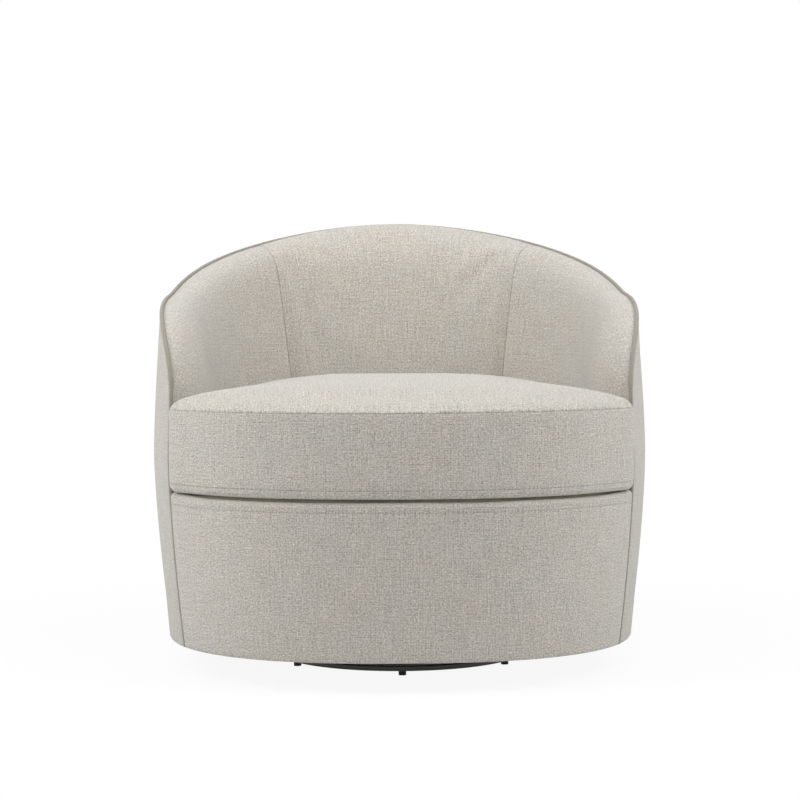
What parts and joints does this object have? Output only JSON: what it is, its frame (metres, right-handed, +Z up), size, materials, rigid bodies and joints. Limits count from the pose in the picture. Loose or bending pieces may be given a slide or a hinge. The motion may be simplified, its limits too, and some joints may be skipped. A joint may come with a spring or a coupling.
{
  "type": "swivel barrel chair",
  "caption": "Low fully upholstered barrel armchair with a wrap-round back, a loose T-shaped box seat cushion and a hidden ball-bearing swivel ring on short feet.",
  "frame": {"origin": "on the floor under the swivel axis, at the middle of the width", "axes": "+X to the sitter's left, +Z up, the front of the seat faces -Y"},
  "size_m": [0.8, 0.794, 0.7254],
  "materials": {
    "upholstery_fabric": "oatmeal slubbed linen-look weave",
    "welt_fabric": "darker taupe bias-cut weave over a filler cord",
    "deck_fabric": "plain woven decking cloth",
    "dust_cloth": "thin black non-woven cloth",
    "felt": "pressed recycled felt pad",
    "foam": "open-cell upholstery foam",
    "plywood": "unfinished plywood",
    "frame_wood": "sawn hardwood",
    "hardboard": "thin smooth hardboard",
    "card_strip": "stiff tack strip",
    "black_steel": "satin black powder coat",
    "plated_steel": "zinc plated",
    "cage_steel": "pressed sheet steel",
    "ball_steel": "hardened polished steel balls",
    "spring_steel": "oil-tempered wire",
    "rubber_feet": "matt black rubber",
    "zipper_cloth": "woven zipper tape",
    "zipper_nylon": "nylon coil",
    "zipper_metal": "enamelled slider without a pull tab"
  },
  "bodies": {
    "base": {"foot_pads": "rubber_feet", "foot_rivets": "plated_steel", "swivel_lower_ring": "black_steel", "retaining_ring": "black_steel", "retaining_rivets": "plated_steel"},
    "ball_cage": {"ball_cage": "cage_steel", "bearing_balls": "ball_steel"},
    "chair": {"swivel_upper_ring": "black_steel", "swivel_bolts": "plated_steel", "swivel_board": "plywood", "board_screws": "plated_steel", "tee_nuts": "plated_steel", "base_panel": "plywood", "dust_cover": "dust_cloth", "seat_ring": "plywood", "seat_posts": "frame_wood", "left_front_post": "frame_wood", "right_front_post": "frame_wood", "corner_blocks": "frame_wood", "back_ribs": "plywood", "arm_ribs": "plywood", "top_rail": "plywood", "back_liner_board": "hardboard", "left_arm_liner_board": "hardboard", "right_arm_liner_board": "hardboard", "outer_liner_board": "hardboard", "tack_strip": "card_strip", "front_panel": "plywood", "back_foam": "foam", "left_arm_foam": "foam", "right_arm_foam": "foam", "left_arm_front_pad": "foam", "right_arm_front_pad": "foam", "inside_back_cover": "upholstery_fabric", "left_arm_cover": "upholstery_fabric", "right_arm_cover": "upholstery_fabric", "outer_wrap": "upholstery_fabric", "apron_pad": "foam", "apron_cover": "upholstery_fabric", "welt_cord": "welt_fabric", "seat_springs": "spring_steel", "spring_clips": "plated_steel", "spring_tie_wires": "spring_steel", "deck_felt": "felt", "deck_foam": "foam", "deck_cloth": "deck_fabric"},
    "seat_cushion": {"cushion_core": "foam", "cushion_bottom_panel": "upholstery_fabric", "cushion_boxing": "upholstery_fabric", "cushion_top_panel": "upholstery_fabric", "zipper_tape": "zipper_cloth", "zipper_coil": "zipper_nylon"},
    "zipper": {"zipper_slider": "zipper_metal"}
  },
  "joints": [
    {"name": "swivel", "type": "hinge", "parent": "base", "child": "chair", "pos_m": [0, 0, 0.02], "axis": [0, 0, 1], "continuous": true},
    {"name": "cage_turn", "type": "hinge", "parent": "base", "child": "ball_cage", "pos_m": [0, 0, 0.013], "axis": [0, 0, 1], "continuous": true},
    {"name": "cushion_lift", "type": "slide", "parent": "chair", "child": "seat_cushion", "axis": [0, 0, 1], "range_m": [0, 0.45]},
    {"name": "zipper_slide", "type": "hinge", "parent": "seat_cushion", "child": "zipper", "pos_m": [0, -0.51518, 0.3608], "axis": [0, 0, 1], "range_deg": [0, 15.3]}
  ],
  "couplings": [
    {"joint": "cage_turn", "follows": "swivel", "ratio": 0.5}
  ]
}
